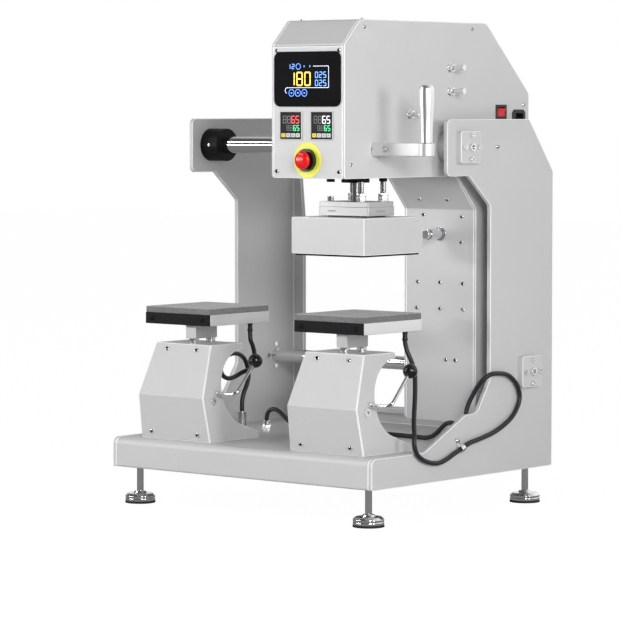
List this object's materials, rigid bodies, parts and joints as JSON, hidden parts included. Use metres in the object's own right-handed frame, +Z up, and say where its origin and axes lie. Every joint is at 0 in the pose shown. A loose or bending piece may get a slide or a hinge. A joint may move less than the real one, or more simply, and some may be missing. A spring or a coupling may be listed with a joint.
{
  "type": "heat press",
  "caption": "Shuttle heat press whose pressing head slides on a chrome shaft between two flat lower platens, with display, controllers, emergency stop and side handle.",
  "frame": {"origin": "centre of the four levelling feet, on the floor", "axes": "+Z up, +X to the machine's right from the operator's place, -Y towards the operator"},
  "size_m": [0.688, 0.557, 0.8484],
  "materials": {
    "base_paint": "satin",
    "carriage_paint": "satin",
    "polished_steel": "polished",
    "machined_aluminium": "satin",
    "zinc_hardware": "satin",
    "chrome_parts": "polished",
    "black_steel": "satin",
    "black_plastic": "matte",
    "foot_rubber": "matte",
    "silicone_foam": "matte",
    "cable_sheath": "satin",
    "display_glass": "gloss",
    "controller_plastic": "matte",
    "red_plastic": "gloss",
    "yellow_key": "matte",
    "grey_key": "matte"
  },
  "bodies": {
    "base": {"base_tray": "base_paint", "side_plate_left": "base_paint", "side_plate_right": "base_paint", "foot_pads": "foot_rubber", "levelling_feet": "chrome_parts", "foot_nuts": "zinc_hardware", "upper_shaft": "polished_steel", "lower_bar": "polished_steel", "collar_left": "black_steel", "collar_right": "machined_aluminium", "shaft_flanges": "machined_aluminium", "frame_screws": "zinc_hardware", "pedestal_bodies": "base_paint", "pedestal_covers": "base_paint", "pedestal_fasteners": "zinc_hardware", "platen_posts": "machined_aluminium", "platen_bodies": "machined_aluminium", "platen_pads": "silicone_foam", "platen_end_plates": "black_steel", "cable_sockets": "chrome_parts", "cable_left": "cable_sheath", "cable_right": "cable_sheath", "base_lead": "cable_sheath", "cable_plugs": "chrome_parts"},
    "carriage": {"side_cover_left": "carriage_paint", "side_cover_right": "carriage_paint", "front_panel": "carriage_paint", "head_wrap": "carriage_paint", "head_base": "machined_aluminium", "column_cover": "carriage_paint", "linear_bearings": "machined_aluminium", "press_actuator": "black_steel", "display": "display_glass", "controllers": "controller_plastic", "estop_collar": "black_plastic", "rear_inlet": "black_plastic", "adjust_studs": "zinc_hardware", "cover_screws": "zinc_hardware", "column_connector": "chrome_parts", "handle_arm": "machined_aluminium"},
    "press_head": {"press_rods": "polished_steel", "clamp_block": "machined_aluminium", "heater_cover": "carriage_paint", "heating_plate": "black_steel", "block_fasteners": "zinc_hardware"},
    "handle_grip": {"handle_grip": "machined_aluminium"},
    "estop_button": {"estop_button": "red_plastic"},
    "rocker_switch": {"rocker_switch": "red_plastic"},
    "lever_left": {"lever_left": "polished_steel", "knob_left": "black_plastic"},
    "lever_right": {"lever_right": "polished_steel", "knob_right": "black_plastic"},
    "key_a1": {"key_a1": "yellow_key"},
    "key_a2": {"key_a2": "grey_key"},
    "key_a3": {"key_a3": "grey_key"},
    "key_a4": {"key_a4": "grey_key"},
    "key_b1": {"key_b1": "yellow_key"},
    "key_b2": {"key_b2": "grey_key"},
    "key_b3": {"key_b3": "grey_key"},
    "key_b4": {"key_b4": "grey_key"}
  },
  "joints": [
    {"name": "shuttle", "type": "slide", "parent": "base", "child": "carriage", "axis": [1, 0, 0], "range_m": [-0.343, 0]},
    {"name": "press_stroke", "type": "slide", "parent": "carriage", "child": "press_head", "axis": [0, 0, 1], "range_m": [-0.099, 0]},
    {"name": "grip_spin", "type": "hinge", "parent": "carriage", "child": "handle_grip", "pos_m": [0.362, -0.198, 0.69], "axis": [0, 0, 1], "continuous": true},
    {"name": "estop_push", "type": "slide", "parent": "carriage", "child": "estop_button", "axis": [0, 1, 0], "range_m": [0, 0.0035], "stiffness_N_per_m": 1500},
    {"name": "rocker_tilt", "type": "hinge", "parent": "carriage", "child": "rocker_switch", "pos_m": [0.251, 0.1525, 0.6925], "axis": [0, 1, 0], "range_deg": [-16, 0]},
    {"name": "lever_left_turn", "type": "hinge", "parent": "base", "child": "lever_left", "pos_m": [-0.167, -0.2074, 0.2025], "axis": [1, 0, 0], "range_deg": [0, 80]},
    {"name": "lever_right_turn", "type": "hinge", "parent": "base", "child": "lever_right", "pos_m": [0.176, -0.2074, 0.2025], "axis": [1, 0, 0], "range_deg": [0, 80]},
    {"name": "key_a1_push", "type": "slide", "parent": "carriage", "child": "key_a1", "axis": [0, 1, 0], "range_m": [0, 0.0007], "stiffness_N_per_m": 800},
    {"name": "key_a2_push", "type": "slide", "parent": "carriage", "child": "key_a2", "axis": [0, 1, 0], "range_m": [0, 0.0007], "stiffness_N_per_m": 800},
    {"name": "key_a3_push", "type": "slide", "parent": "carriage", "child": "key_a3", "axis": [0, 1, 0], "range_m": [0, 0.0007], "stiffness_N_per_m": 800},
    {"name": "key_a4_push", "type": "slide", "parent": "carriage", "child": "key_a4", "axis": [0, 1, 0], "range_m": [0, 0.0007], "stiffness_N_per_m": 800},
    {"name": "key_b1_push", "type": "slide", "parent": "carriage", "child": "key_b1", "axis": [0, 1, 0], "range_m": [0, 0.0007], "stiffness_N_per_m": 800},
    {"name": "key_b2_push", "type": "slide", "parent": "carriage", "child": "key_b2", "axis": [0, 1, 0], "range_m": [0, 0.0007], "stiffness_N_per_m": 800},
    {"name": "key_b3_push", "type": "slide", "parent": "carriage", "child": "key_b3", "axis": [0, 1, 0], "range_m": [0, 0.0007], "stiffness_N_per_m": 800},
    {"name": "key_b4_push", "type": "slide", "parent": "carriage", "child": "key_b4", "axis": [0, 1, 0], "range_m": [0, 0.0007], "stiffness_N_per_m": 800}
  ]
}
